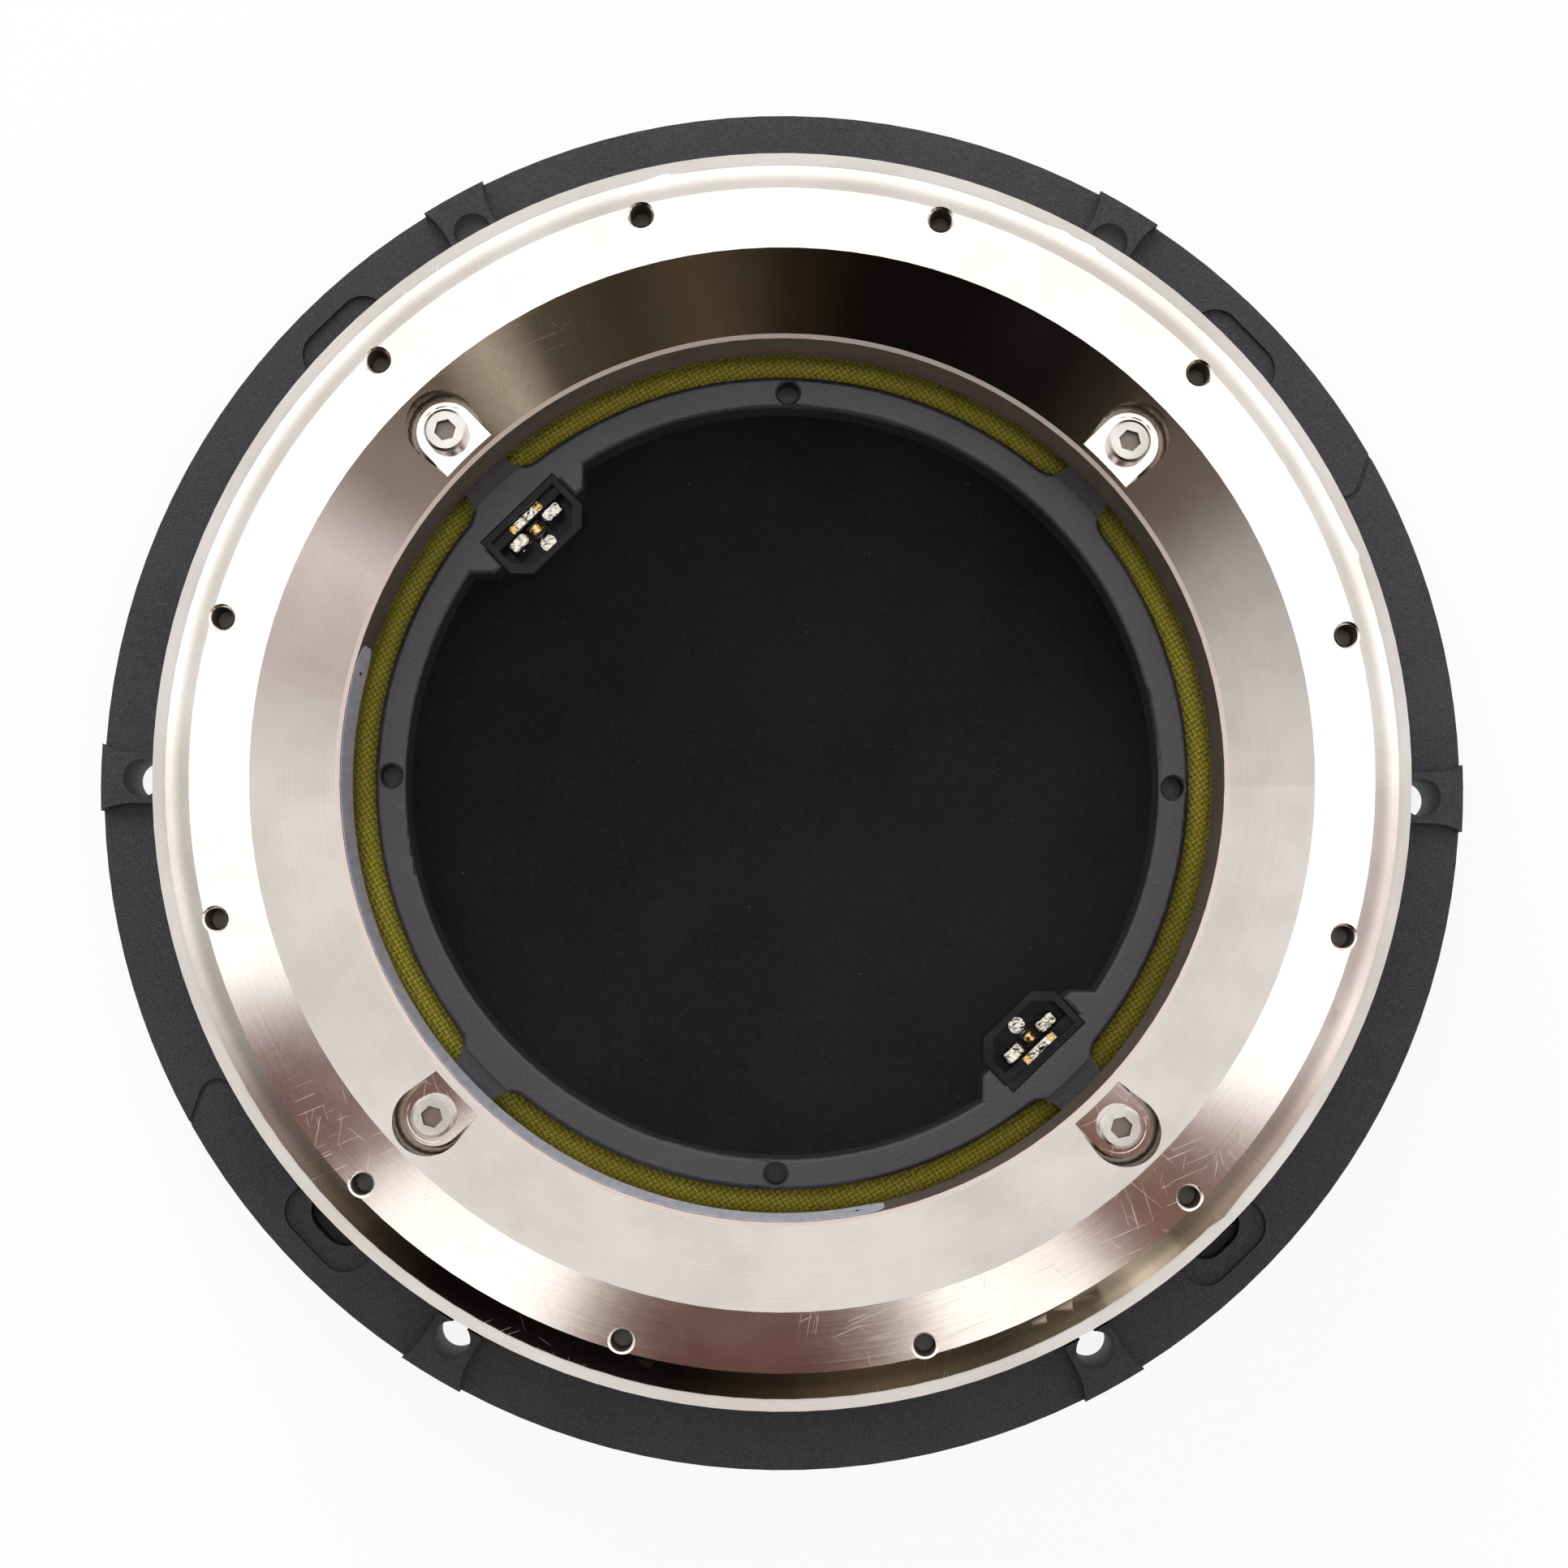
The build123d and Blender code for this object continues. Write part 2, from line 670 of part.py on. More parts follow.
def surround():
    """Half roll towards the front, between the diaphragm's lip and the trim ring."""
    inner = former_outer + diaphragm_lip - surround_lip
    lip_end = former_outer + diaphragm_lip
    outer = trim_inner - soft_clearance - surround_wall / 2
    middle = shelf - surround_wall / 2
    radius = (outer - lip_end) / 2
    section = half_roll((outer + lip_end) / 2, middle, radius, surround_wall, False)
    section += flat_lip(inner, lip_end + surround_wall / 2, middle, surround_wall)
    section += flat_lip(outer - surround_wall / 2, trim_outer - lip_corner, middle, surround_wall)
    return lathe(section)


def inner_suspension():
    """Waved cloth ring between the hub and the former."""
    middle = hub_bottom - suspension_wall / 2
    first = hub_outer + 0.5
    last = former_inner - soft_clearance - 0.5
    radius = (last - first) / (2 * suspension_waves)
    section = flat_lip(hub_outer - suspension_lip, first + suspension_wall / 2, middle, suspension_wall)
    for wave in range(suspension_waves):
        centre = first + radius * (2 * wave + 1)
        section += half_roll(centre, middle, radius, suspension_wall, wave % 2 == 0)
    section += flat_lip(last - suspension_wall / 2, last + 0.5, middle, suspension_wall)
    return lathe(section)


def diaphragm():
    """Shallow dome towards the front, with a flat lip round its edge."""
    edge = former_inner - collar_width
    sphere = (edge ** 2 + diaphragm_rise ** 2) / (2 * diaphragm_rise)
    apex = diaphragm_front - diaphragm_rise
    outside = Sphere(sphere)
    inside = Sphere(sphere - diaphragm_wall)
    shell = Pos(0, 0, apex + sphere) * (outside - inside)
    cap = shell & post(edge, apex - 1, former_front)
    return cap + ring(edge - 0.5, diaphragm_edge, diaphragm_front, former_front)


def coil_former():
    return ring(former_inner, former_outer, former_front, winding_rear)


def voice_coil():
    return ring(former_outer, winding_outer, winding_front, winding_rear)


def former_collar():
    return ring(former_inner - collar_width, former_inner, former_front, former_front + collar_height)


def lead_tab():
    """Copper pad inside the former that a lead is soldered to."""
    block = Box(4, tab_width, tab_height, align=BASE)
    body = Pos(former_inner, 0, lead_end_height() - tab_height / 2) * block
    return body & ring(former_inner - tab_thickness, former_inner, former_front, seat)


def lead_end_height():
    return former_front + collar_height + tab_height / 2 + 0.6


def lead():
    """Flexible lead from a terminal's rivet, under the suspension, to the pad on the former."""
    start = (rivet_centre, 0, housing_bottom - rivet_head_height)
    low = lead_end_height() - 3.6
    end = former_inner - tab_thickness - soft_clearance
    reach = end - rivet_centre
    route = [
        start,
        (rivet_centre, 0, start[2] - 2.4),
        (rivet_centre + 0.28 * reach, 0, low + 0.9),
        (rivet_centre + 0.70 * reach, 0, low),
        (end - 0.7, 0, lead_end_height() - 0.4),
    ]
    path = FilletPolyline(*route, radius=lead_bends(route))
    section = Plane(origin=path @ 0, z_dir=path % 0) * Circle(lead_radius)
    return sweep(section, path)


def lead_bends(route):
    """As large a bend at each corner as its two runs allow."""
    radii = []
    for before, corner, after in zip(route, route[1:], route[2:]):
        into = Vector(corner) - Vector(before)
        out = Vector(after) - Vector(corner)
        half_turn = radians(into.get_angle(out) / 2)
        radii.append(0.45 * min(into.length, out.length) / (sin(half_turn) / cos(half_turn)))
    return radii


def build():
    save("basket", basket())
    save("front_gasket", front_gasket())
    save("trim_ring", trim_ring())
    save("motor_screws", motor_screws())
    save("locating_pins", locating_pins())
    save("yoke_cup", yoke_cup())
    save("magnet_blocks", magnet_blocks())
    save("pole_plate", pole_plate())
    save("copper_sleeve", copper_sleeve())
    save("outer_pole_ring", outer_pole_ring())
    save("shorting_ring", shorting_ring())
    save("bore_liner", bore_liner())
    save("label_band", label_band())
    save("hub_frame", hub_frame())
    save("hub_screws", hub_screws())
    save("suspension_clamp", suspension_clamp())
    for name, angle in zip(("left", "right"), terminal_angles):
        turn = Rot(0, 0, angle)
        save(f"terminal_housing_{name}", turn * terminal_housing())
        save(f"terminal_lugs_{name}", group([turn * item for item in lug_pair()]))
        save(f"contact_strip_{name}", turn * ledge_piece(strip_length, 0))
        save(f"strip_ends_{name}", group([turn * item for item in strip_ends()]))
        save(f"contact_clip_{name}", turn * contact_clip())
        save(f"terminal_rivet_{name}", turn * terminal_rivet())
        save(f"lead_wire_{name}", turn * lead())
        save(f"lead_tab_{name}", turn * lead_tab())
    save("inner_suspension", inner_suspension())
    save("surround", surround())
    save("diaphragm", diaphragm())
    save("coil_former", coil_former())
    save("voice_coil", voice_coil())
    save("former_collar", former_collar())


build()
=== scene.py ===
import math

import bmesh
import bpy
import numpy as np
from mathutils import Matrix, Vector


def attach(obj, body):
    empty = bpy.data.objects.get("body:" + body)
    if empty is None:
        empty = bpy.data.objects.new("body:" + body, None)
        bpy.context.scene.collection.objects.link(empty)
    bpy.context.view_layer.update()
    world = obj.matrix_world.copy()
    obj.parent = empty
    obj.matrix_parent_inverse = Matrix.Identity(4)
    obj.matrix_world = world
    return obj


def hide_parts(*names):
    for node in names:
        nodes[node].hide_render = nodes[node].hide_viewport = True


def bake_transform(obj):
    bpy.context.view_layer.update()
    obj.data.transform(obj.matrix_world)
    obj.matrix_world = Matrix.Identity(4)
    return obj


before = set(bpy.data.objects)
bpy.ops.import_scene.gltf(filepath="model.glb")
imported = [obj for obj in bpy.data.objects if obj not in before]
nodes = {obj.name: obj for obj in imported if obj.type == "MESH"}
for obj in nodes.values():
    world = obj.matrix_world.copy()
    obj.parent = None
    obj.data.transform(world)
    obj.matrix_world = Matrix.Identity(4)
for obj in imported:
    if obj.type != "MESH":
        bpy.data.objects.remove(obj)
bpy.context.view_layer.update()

mm = 0.001
print("frame loaded:", len(nodes), "nodes")


# one output socket; maths on it adds nodes
class Wire:
    def __init__(self, net, socket):
        self.net = net
        self.socket = socket

    def also(self, name):
        return Wire(self.net, self.socket.node.outputs[name])

    def math(self, operation, *values):
        return self.net.maths(operation, self, *values)

    def __add__(self, other):
        return self.math("ADD", other)

    def __sub__(self, other):
        return self.math("SUBTRACT", other)

    def __mul__(self, other):
        return self.math("MULTIPLY", other)

    def __truediv__(self, other):
        return self.math("DIVIDE", other)

    def __pow__(self, other):
        return self.math("POWER", other)

    def __gt__(self, other):
        return self.math("GREATER_THAN", other)

    def __lt__(self, other):
        return self.math("LESS_THAN", other)

    def __rsub__(self, other):
        return self.net.maths("SUBTRACT", other, self)

    def __rtruediv__(self, other):
        return self.net.maths("DIVIDE", other, self)

    __radd__ = __add__
    __rmul__ = __mul__


class Net:
    def __init__(self, tree):
        self.tree = tree
        tree.nodes.clear()

    # any node: its type, its settings, what goes in its sockets, and which output comes back
    def node(self, kind, settings=None, sockets=None, out=0):
        made = self.tree.nodes.new(kind)
        for key, value in (settings or {}).items():
            if key == "stops":
                self.setStops(made.color_ramp, value)
            else:
                setattr(made, key, value)
        for key, value in (sockets or {}).items():
            if isinstance(value, Wire):
                self.tree.links.new(value.socket, made.inputs[key])
            else:
                made.inputs[key].default_value = value
        return Wire(self, made.outputs[out]) if len(made.outputs) else made

    def setStops(self, ramp, stops):
        while len(ramp.elements) < len(stops):
            ramp.elements.new(0.5)
        for element, (position, colour) in zip(ramp.elements, stops):
            element.position = position
            element.color = (*colour, 1) if len(colour) == 3 else colour

    def maths(self, operation, *values):
        return self.node("ShaderNodeMath", {"operation": operation}, dict(enumerate(values)))

    def place(self):
        return self.node("ShaderNodeTexCoord", out="Object")

    def parts(self, vector):
        split = self.node("ShaderNodeSeparateXYZ", {}, {0: vector})
        return split, split.also("Y"), split.also("Z")

    def vector(self, x, y, z):
        return self.node("ShaderNodeCombineXYZ", {}, {0: x, 1: y, 2: z})

    def noise(self, vector, scale, detail=2.0, roughness=0.5):
        socketValues = {"Vector": vector, "Scale": scale, "Detail": detail, "Roughness": roughness}
        return self.node("ShaderNodeTexNoise", {}, socketValues)

    def noiseLine(self, value, scale, detail=2.0, roughness=0.5):
        socketValues = {"W": value, "Scale": scale, "Detail": detail, "Roughness": roughness}
        return self.node("ShaderNodeTexNoise", {"noise_dimensions": "1D"}, socketValues)

    # 0 below low, 1 above high and smooth between
    def remap(self, value, low, high):
        socketValues = {0: value, 1: low, 2: high, 3: 0.0, 4: 1.0}
        return self.node("ShaderNodeMapRange", {"interpolation_type": "SMOOTHSTEP"}, socketValues)

    def mix(self, factor, first, second):
        first, second = (c if isinstance(c, Wire) else (*c, 1) for c in (first, second))
        return self.node("ShaderNodeMix", {"data_type": "RGBA"}, {0: factor, 6: first, 7: second}, out=2)

    def bump(self, height, distance):
        return self.node("ShaderNodeBump", {}, {"Height": height, "Distance": distance, "Strength": 1.0})


def newMaterial(name):
    material = bpy.data.materials.new(name)
    material.use_nodes = True
    return material, Net(material.node_tree)


# ends a material: a Principled shader with these socket values
def finishMaterial(material, net, **sockets):
    names = {key: key.replace("_", " ") for key in sockets}
    shader = net.node("ShaderNodeBsdfPrincipled", {}, {names[key]: value for key, value in sockets.items()})
    net.node("ShaderNodeOutputMaterial", {}, {"Surface": shader})
    return material


cameraLook = {
    "aim": (0.26 * mm, -0.89 * mm, 55 * mm),
    "distance": 0.450,
    "elevation": 87.9,     # seen from the -Y side
    "roll": 0.9,
    "lens": 81.0,
}


def addCamera(look):
    data = bpy.data.cameras.new("benchCamera")
    camera = bpy.data.objects.new("benchCamera", data)
    bpy.context.scene.collection.objects.link(camera)
    rise = math.radians(look["elevation"])
    roll = math.radians(look["roll"])
    back = Vector((0, -math.cos(rise), math.sin(rise)))
    up = Vector((0, math.sin(rise), math.cos(rise)))
    right = Vector((1, 0, 0)) * math.cos(roll) + up * math.sin(roll)
    over = back.cross(right)
    turn = Matrix((right, over, back)).transposed().to_4x4()
    camera.matrix_world = Matrix.Translation(Vector(look["aim"]) + back * look["distance"]) @ turn
    data.lens = look["lens"]
    data.sensor_width = 36
    data.clip_start = 0.01
    bpy.context.scene.camera = camera


# What bright metal sees of the room: a light ceiling, light walls and one dark side at -Y.
# Colours are by heading, from +Y round by -X and -Y to +X and back.
roomLook = {
    "plain": 0.42,
    "ceiling": 1.8,
    "ceilingEdge": (19, 26),       # degrees from straight up
    "horizon": 0.75,               # how much brighter the walls are low down
    "horizonEdge": (48, 80),
    "streaks": 90,                 # faint upright streaks in the walls
    "streakShift": 0.004,
    "walls": [
        (0.000, (1.0, 1.0, 0.99)), (0.222, (1.0, 1.0, 0.99)), (0.278, (0.70, 0.70, 0.69)),
        (0.306, (0.56, 0.55, 0.54)), (0.336, (0.22, 0.18, 0.17)), (0.368, (0.085, 0.065, 0.045)),
        (0.385, (0.020, 0.016, 0.012)), (0.400, (0.004, 0.003, 0.003)), (0.475, (0.005, 0.004, 0.004)),
        (0.500, (0.025, 0.018, 0.011)), (0.530, (0.085, 0.062, 0.036)), (0.560, (0.050, 0.040, 0.024)),
        (0.590, (0.10, 0.08, 0.055)), (0.606, (0.55, 0.48, 0.38)), (0.621, (0.16, 0.13, 0.09)),
        (0.662, (0.36, 0.29, 0.26)), (0.690, (0.86, 0.80, 0.79)), (0.725, (0.68, 0.61, 0.61)),
        (0.775, (1.0, 1.0, 0.99)), (1.000, (1.0, 1.0, 0.99)),
    ],
    "beams": [                     # wooden beams overhead, on the -Y side only
        (0.000, (1.0, 1.0, 1.0)), (0.275, (1.0, 1.0, 1.0)), (0.288, (0.085, 0.028, 0.019)),
        (0.341, (0.085, 0.028, 0.019)), (0.352, (1.0, 0.97, 0.95)), (0.418, (1.0, 0.97, 0.95)),
        (0.432, (0.070, 0.023, 0.014)), (0.545, (0.070, 0.023, 0.014)), (0.560, (1.0, 0.97, 0.95)),
        (0.612, (1.0, 0.97, 0.95)), (0.628, (0.105, 0.038, 0.022)), (0.680, (0.105, 0.038, 0.022)),
        (0.694, (1.0, 1.0, 1.0)), (1.000, (1.0, 1.0, 1.0)),
    ],
}


def addRoom(look):
    world = bpy.data.worlds.new("studioRoom")
    bpy.context.scene.world = world
    world.use_nodes = True
    net = Net(world.node_tree)
    x, y, z = net.parts(net.node("ShaderNodeTexCoord", out="Generated"))
    heading = net.maths("ARCTAN2", x, 0 - y) / math.tau + 0.5
    tilt = net.maths("ARCCOSINE", net.maths("MINIMUM", z, 0.99999)) * (180 / math.pi)
    streaks = (net.noiseLine(heading, look["streaks"], 2) - 0.5) * look["streakShift"]
    wallHeading = heading + streaks
    walls = net.node("ShaderNodeValToRGB", {"stops": look["walls"]}, {0: wallHeading})
    beams = net.node("ShaderNodeValToRGB", {"stops": look["beams"]}, {0: heading})
    ceiling = net.node("ShaderNodeVectorMath", {"operation": "SCALE"}, {0: beams, "Scale": look["ceiling"]})
    horizon = net.remap(tilt, *look["horizonEdge"]) * look["horizon"] + 1
    sides = net.node("ShaderNodeVectorMath", {"operation": "SCALE"}, {0: walls, "Scale": horizon})
    seen = net.mix(net.remap(tilt, *look["ceilingEdge"]), ceiling, sides)
    glossy = net.node("ShaderNodeLightPath", out="Is Glossy Ray")
    camera = glossy.also("Is Camera Ray")
    clear = glossy.also("Is Transmission Ray")
    plainLight = net.mix(net.maths("MAXIMUM", camera, clear), (look["plain"],) * 3, (1, 1, 1))
    light = net.mix(glossy, plainLight, seen)
    background = net.node("ShaderNodeBackground", {}, {0: light, 1: 1.0})
    net.node("ShaderNodeOutputWorld", {}, {0: background})


# soft lamps, all aimed at the middle of the driver
lampLooks = {
    "keyLamp": {"size": 0.55, "power": 4.6, "position": (-0.22, 0.62, 0.62)},
    "overheadLamp": {"size": 0.8, "power": 2.6, "position": (0.15, 0.05, 1.0)},
    "fillLamp": {"size": 0.7, "power": 1.3, "position": (0.1, -0.8, 0.45)},
}
lampTarget = (0, 0, 0.03)


def addLamp(name, look):
    data = bpy.data.lights.new(name, "AREA")
    data.shape = "DISK"
    data.size = look["size"]
    data.energy = look["power"]
    lamp = bpy.data.objects.new(name, data)
    bpy.context.scene.collection.objects.link(lamp)
    lamp.location = look["position"]
    aim = Vector(lampTarget) - Vector(look["position"])
    lamp.rotation_euler = aim.to_track_quat("-Z", "Y").to_euler()
    lamp.visible_glossy = False
    lamp.visible_camera = False


def addFloor():
    mesh = bpy.data.meshes.new("benchTop")
    half = 4.0
    corners = [(-half, -half, 0), (half, -half, 0), (half, half, 0), (-half, half, 0)]
    mesh.from_pydata(corners, [], [(0, 1, 2, 3)])
    floor = bpy.data.objects.new("benchTop", mesh)
    bpy.context.scene.collection.objects.link(floor)
    floor.location.z = -0.0002
    material, net = newMaterial("benchPaper")
    matte = net.node("ShaderNodeBsdfDiffuse", {}, {0: (0.86, 0.86, 0.86, 1)})
    glow = net.node("ShaderNodeEmission", {}, {0: (1, 1, 1, 1), 1: 1.0})
    rays = net.node("ShaderNodeLightPath", out="Is Camera Ray")
    seen = net.maths("MAXIMUM", rays, rays.also("Is Glossy Ray")) * 0.9
    both = net.node("ShaderNodeMixShader", {}, {0: seen, 1: matte, 2: glow})
    net.node("ShaderNodeOutputMaterial", {}, {0: both})
    mesh.materials.append(material)


addCamera(cameraLook)
addRoom(roomLook)
addFloor()
for lampName, lampLook in lampLooks.items():
    addLamp(lampName, lampLook)
bpy.context.scene.view_settings.view_transform = "Standard"
print("camera, room and lamps set")


def radiusOf(net, x, y):
    return (x * x + y * y) ** 0.5


# long thin scratches in a few directions
def scratchLines(net, place, look):
    total = None
    for angle, stretch, spacing, cut in look:
        socketValues = {"Vector": place, "Rotation": (0, 0, math.radians(angle)),
                        "Scale": (1 / stretch, 1 / spacing, 1)}
        lines = net.noise(net.node("ShaderNodeMapping", {"vector_type": "TEXTURE"}, socketValues), 1.0, 1.0)
        found = net.remap(lines, cut, cut + 0.03)
        total = found if total is None else net.maths("MAXIMUM", total, found)
    return total


nickelLook = {
    "tint": (0.745, 0.695, 0.650),
    "shade": (0.640, 0.585, 0.535),
    "flatRoughness": 0.088,
    "coneRoughness": 0.068,
    "rimRoughness": 0.040,
    "anisotropy": 0.9,
    "markDepth": 0.0000015,
    "thread": 0.0005,
    "lipTo": 0.05755,
    "lipFloor": 0.0504,
    "holeFrom": 0.0728,    # ring of tapped holes, and the heights between which they are dark
    "holeTo": 0.0759,
    "holeFloor": 0.048,
    "holeTop": 0.05465,
    "holeShade": (0.10, 0.09, 0.08),
    "scratchTint": (0.86, 0.84, 0.82),
    "lipTint": (0.93, 0.80, 0.74),
    "scratches": [(24, 90, 7200, 0.725), (-38, 110, 8100, 0.73), (81, 80, 6700, 0.73), (-72, 100, 8900, 0.735)],
    "flatFrom": 0.0679,
    "rimFrom": 0.0757,
}


def nickelPlate(look):
    material, net = newMaterial("nickelPlate")
    place = net.place()
    x, y, z = net.parts(place)
    radius = radiusOf(net, x, y)
    fine = net.noiseLine(radius, 15000, 2, 0.7)
    broad = net.noiseLine(radius, 2300, 2, 0.6)
    cloud = net.noise(place, 55, 4, 0.6)
    scuffed = net.remap(net.noise(place, 38, 2), 0.44, 0.60)
    onRim = net.remap(radius, look["rimFrom"], look["rimFrom"] + 0.0003)
    onFlat = net.remap(radius, look["flatFrom"], look["flatFrom"] + 0.0002)
    lines = scratchLines(net, place, look["scratches"]) * scuffed * (onFlat * 0.75 + 0.25)
    turned = 1 - onRim
    marks = (fine * 0.6 + broad * 0.35) * turned + lines * 3.5
    flatOrCone = onFlat * (look["flatRoughness"] - look["coneRoughness"]) + look["coneRoughness"]
    roughness = onRim * look["rimRoughness"] + turned * flatOrCone + (cloud - 0.5) * 0.04 + lines * 0.16
    tone = net.remap(cloud * 0.85 + broad * 0.15, 0.34, 0.66)
    colour = net.mix(tone, look["shade"], look["tint"])
    colour = net.mix(lines * 0.35, colour, look["scratchTint"])
    # the lip round the bore is broken by hand and scatters light
    onLip = (radius < look["lipTo"]) * (z > look["lipFloor"])
    colour = net.mix(onLip, colour, look["lipTint"])
    roughness = roughness + onLip * 0.5
    # inside the tapped holes: cut thread, rougher, and painted shade darkening them
    deep = (z < look["holeTop"]) * (z > look["holeFloor"])
    inHole = deep * (radius > look["holeFrom"]) * (radius < look["holeTo"])
    thread = net.maths("SINE", z * (math.tau / look["thread"]))
    colour = net.mix(inHole * 0.93, colour, look["holeShade"])
    roughness = roughness + inHole * 0.3
    marks = marks + thread * inHole * 60
    normal = net.bump(marks, look["markDepth"])
    return finishMaterial(material, net, Base_Color=colour, Metallic=1.0, Roughness=roughness, Normal=normal,
                          Anisotropic=look["anisotropy"], Anisotropic_Rotation=0.25)


# painted castings: fine orange peel, a few pits and pale dust
def powderCoat(name, look):
    material, net = newMaterial(name)
    place = net.place()
    peel = net.noise(place, look["grain"], 3, 0.6)
    sand = net.noise(place, look["grain"] * 3.1, 2, 0.6)
    patch = net.remap(net.noise(place, 85, 4, 0.6), 0.3, 0.7)
    dust = net.remap(net.noise(place, 2600, 1, 0.4), 0.76, 0.82)
    colour = net.mix(patch, look["dark"], look["light"])
    colour = net.mix(net.remap(sand, 0.35, 0.75) * look["sparkle"], colour, look["fleck"])
    colour = net.mix(dust * 0.25, colour, (0.30, 0.30, 0.32))
    roughness = (peel - 0.5) * 0.18 + look["roughness"]
    normal = net.bump(peel * 0.75 + sand * 0.35, look["peelDepth"])
    return finishMaterial(material, net, Base_Color=colour, Roughness=roughness, Normal=normal,
                          Specular_IOR_Level=look["shine"])


castLook = {"dark": (0.016, 0.015, 0.018), "light": (0.024, 0.023, 0.026), "fleck": (0.060, 0.058, 0.064),
            "sparkle": 0.75, "grain": 1250, "roughness": 0.62, "peelDepth": 0.00016, "shine": 0.5}
hubLook = {"dark": (0.022, 0.020, 0.024), "light": (0.031, 0.028, 0.034), "fleck": (0.070, 0.065, 0.074),
           "sparkle": 0.35, "grain": 1900, "roughness": 0.40, "peelDepth": 0.00006, "shine": 0.6}


# lathe-turned or drawn metal, its marks running round the axis or along it
def turnedMetal(name, look):
    material, net = newMaterial(name)
    place = net.place()
    x, y, z = net.parts(place)
    along = radiusOf(net, x, y) + z
    fine = net.noiseLine(along, look.get("marks", 9000), 3, 0.7)
    cloud = net.noise(place, look.get("cloud", 120), 4, 0.6)
    nicks = net.remap(net.noise(place, 900, 2), 0.70, 0.80)
    colour = net.mix(net.remap(cloud, 0.3, 0.7), look["shade"], look["tint"])
    colour = net.mix(nicks * 0.4, colour, look["shade"])
    roughness = (cloud - 0.5) * 0.12 + fine * 0.06 + look["roughness"]
    if "socket" in look:     # painted shade in the socket of each screw head; the four heads fold on to one
        centre, reach, top = look["socket"]
        off = radiusOf(net, net.maths("ABSOLUTE", x) - centre, net.maths("ABSOLUTE", y) - centre)
        inSocket = (off < reach) * (z < top)
        colour = net.mix(inSocket * 0.8, colour, (0.16, 0.11, 0.08))
        roughness = roughness + inSocket * 0.15
    normal = net.bump(fine + nicks * 0.5, look.get("depth", 0.000006))
    return finishMaterial(material, net, Base_Color=colour, Metallic=look.get("metal", 1.0),
                          Roughness=roughness, Normal=normal, Anisotropic=look.get("anisotropy", 0.5),
                          Anisotropic_Rotation=0.25)


metalLooks = {
    "screwSteel": {"tint": (0.66, 0.64, 0.61), "shade": (0.46, 0.43, 0.40), "roughness": 0.24, "marks": 12000,
                   "anisotropy": 0.2, "depth": 0.000005,
                   "socket": (62.2 * mm * math.sqrt(0.5), 1.47 * mm, 53.55 * mm)},
    "plainSteel": {"tint": (0.56, 0.55, 0.54), "shade": (0.42, 0.40, 0.38), "roughness": 0.28},
    "blackSteel": {"tint": (0.060, 0.060, 0.064), "shade": (0.030, 0.030, 0.032), "roughness": 0.38,
                   "metal": 0.8},
    "magnetPlate": {"tint": (0.66, 0.65, 0.63), "shade": (0.54, 0.52, 0.50), "roughness": 0.20},
    "copperSheet": {"tint": (0.80, 0.43, 0.25), "shade": (0.52, 0.25, 0.13), "roughness": 0.24},
    "turnedAluminium": {"tint": (0.76, 0.76, 0.77), "shade": (0.63, 0.63, 0.65), "roughness": 0.25},
    "formerFoil": {"tint": (0.66, 0.65, 0.63), "shade": (0.50, 0.49, 0.47), "roughness": 0.33, "marks": 5000},
    "blackAnodised": {"tint": (0.040, 0.040, 0.043), "shade": (0.024, 0.024, 0.026), "roughness": 0.34,
                      "metal": 0.7, "marks": 7000, "depth": 0.00001},
}


tinnedLooks = {
    "tinned": {"tint": (0.56, 0.53, 0.46), "stain": (0.20, 0.17, 0.11)},
    "solderedCopper": {"tint": (0.62, 0.42, 0.17), "stain": (0.20, 0.12, 0.05)},
}


# soldered and tinned pieces: bright, a little lumpy, with dull flux marks
def tinnedMetal(name, look):
    material, net = newMaterial(name)
    place = net.place()
    lumps = net.noise(place, 700, 2, 0.5)
    flux = net.remap(net.noise(place, 420, 4, 0.7), 0.52, 0.68)
    colour = net.mix(flux, look["tint"], look["stain"])
    roughness = flux * 0.22 + net.noise(place, 2500, 2) * 0.08 + 0.13
    normal = net.bump(lumps, 0.0005)
    return finishMaterial(material, net, Base_Color=colour, Metallic=1.0, Roughness=roughness, Normal=normal)


def mouldedPlastic(name, look):
    material, net = newMaterial(name)
    place = net.place()
    skin = net.noise(place, look["grain"], 3, 0.6)
    smear = net.remap(net.noise(place, 160, 4, 0.6), 0.35, 0.7)
    colour = net.mix(smear, look["dark"], look["light"])
    roughness = smear * look["smear"] + (skin - 0.5) * 0.1 + look["roughness"]
    normal = net.bump(skin, look["depth"])
    return finishMaterial(material, net, Base_Color=colour, Roughness=roughness, Normal=normal,
                          Specular_IOR_Level=look.get("shine", 0.5))


plasticLooks = {
    "terminalPlastic": {"dark": (0.008, 0.008, 0.010), "light": (0.016, 0.016, 0.020), "grain": 900,
                        "roughness": 0.14, "smear": 0.10, "depth": 0.00002, "shine": 0.12},
    "mattePlastic": {"dark": (0.016, 0.016, 0.016), "light": (0.028, 0.028, 0.028), "grain": 3000,
                     "roughness": 0.55, "smear": 0.15, "depth": 0.00003},
    "surroundRubber": {"dark": (0.010, 0.010, 0.011), "light": (0.018, 0.018, 0.019), "grain": 4500,
                       "roughness": 0.62, "smear": 0.14, "depth": 0.00003},
}


diaphragmLook = {"dark": (0.0092, 0.0078, 0.0082), "light": (0.0145, 0.0122, 0.0126),
                 "fibre": (0.028, 0.025, 0.025)}


